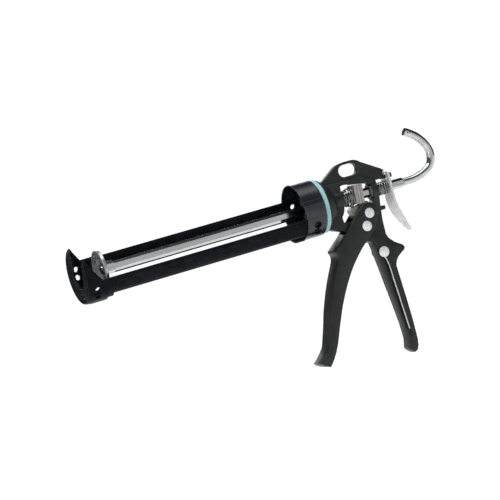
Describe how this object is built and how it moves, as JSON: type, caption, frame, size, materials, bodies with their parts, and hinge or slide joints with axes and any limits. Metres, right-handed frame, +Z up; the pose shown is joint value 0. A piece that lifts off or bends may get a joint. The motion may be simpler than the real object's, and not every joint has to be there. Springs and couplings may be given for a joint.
{
  "type": "caulking gun",
  "caption": "Hand caulking gun: turning open cradle with slotted front cap, hooked push rod, drive plates worked by a swinging trigger, fixed handle, thumb release and swing-out needle.",
  "frame": {"origin": "centre of the oval hang hole in the body's upper web, on the middle plane of the handles", "axes": "+X along the barrel towards the rod's hook, so the nose points to -X; +Z up, away from the handles; +Y across the gun, away from the side that carries the needle"},
  "size_m": [0.3842, 0.0569, 0.2112],
  "materials": {
    "black_steel": "black powder coat, satin",
    "black_cast": "black paint on die casting, satin",
    "chrome": "bright plated",
    "zinc_steel": "zinc plated",
    "bare_steel": "hardened, matt",
    "blue_ring": "moulded, satin"
  },
  "bodies": {
    "body": {"body_casting": "black_cast", "friction_ring": "blue_ring", "retaining_plate": "zinc_steel", "retaining_screw_1": "zinc_steel", "retaining_screw_2": "zinc_steel", "retaining_screw_3": "zinc_steel", "front_rod_bush": "bare_steel", "rear_rod_bush": "bare_steel", "pivot_rivet": "zinc_steel", "needle_rivet": "zinc_steel", "drive_spring": "zinc_steel", "brake_spring": "zinc_steel"},
    "cradle": {"cradle_collar": "black_steel", "front_cap": "black_steel", "rail_near": "black_steel", "rail_far": "black_steel", "rail_rivet_near_front_1": "black_steel", "rail_rivet_near_front_2": "black_steel", "rail_rivet_near_rear_1": "black_steel", "rail_rivet_near_rear_2": "black_steel", "rail_rivet_far_front_1": "black_steel", "rail_rivet_far_front_2": "black_steel", "rail_rivet_far_rear_1": "black_steel", "rail_rivet_far_rear_2": "black_steel"},
    "rod": {"push_rod": "chrome", "pusher_cup": "chrome", "pusher_front_nut": "zinc_steel", "pusher_rear_nut": "zinc_steel"},
    "drive": {"drive_plate_1": "bare_steel", "drive_plate_2": "bare_steel", "drive_plate_3": "bare_steel", "drive_yoke": "bare_steel"},
    "trigger": {"trigger": "black_cast", "push_pin": "zinc_steel"},
    "release": {"release_plate": "zinc_steel"},
    "needle": {"needle": "zinc_steel"}
  },
  "joints": [
    {"name": "cradle_turn", "type": "hinge", "parent": "body", "child": "cradle", "pos_m": [-0.0426, 0, -0.026], "axis": [1, 0, 0], "continuous": true},
    {"name": "trigger_swing", "type": "hinge", "parent": "body", "child": "trigger", "pos_m": [0.0012, 0, -0.0565], "axis": [0, -1, 0], "range_deg": [0, 25], "stiffness_Nm_per_rad": 0.35, "springref_deg": -22.92},
    {"name": "drive_slide", "type": "slide", "parent": "body", "child": "drive", "axis": [-1, 0, 0], "range_m": [0, 0.00545], "deforming": ["drive_spring"]},
    {"name": "rod_slide", "type": "slide", "parent": "body", "child": "rod", "axis": [1, 0, 0], "range_m": [-0.012, 0.2]},
    {"name": "release_press", "type": "hinge", "parent": "body", "child": "release", "pos_m": [0.0382, 0, -0.0155], "axis": [0, 1, 0], "range_deg": [0, 7], "stiffness_Nm_per_rad": 0.1, "springref_deg": -11.46, "deforming": ["brake_spring"]},
    {"name": "needle_swing", "type": "hinge", "parent": "body", "child": "needle", "pos_m": [0.0116, 0, -0.0848], "axis": [0, -1, 0], "range_deg": [0, 90]}
  ],
  "couplings": [
    {"joint": "drive_slide", "follows": "trigger_swing", "m_per_rad": 0.0124}
  ]
}
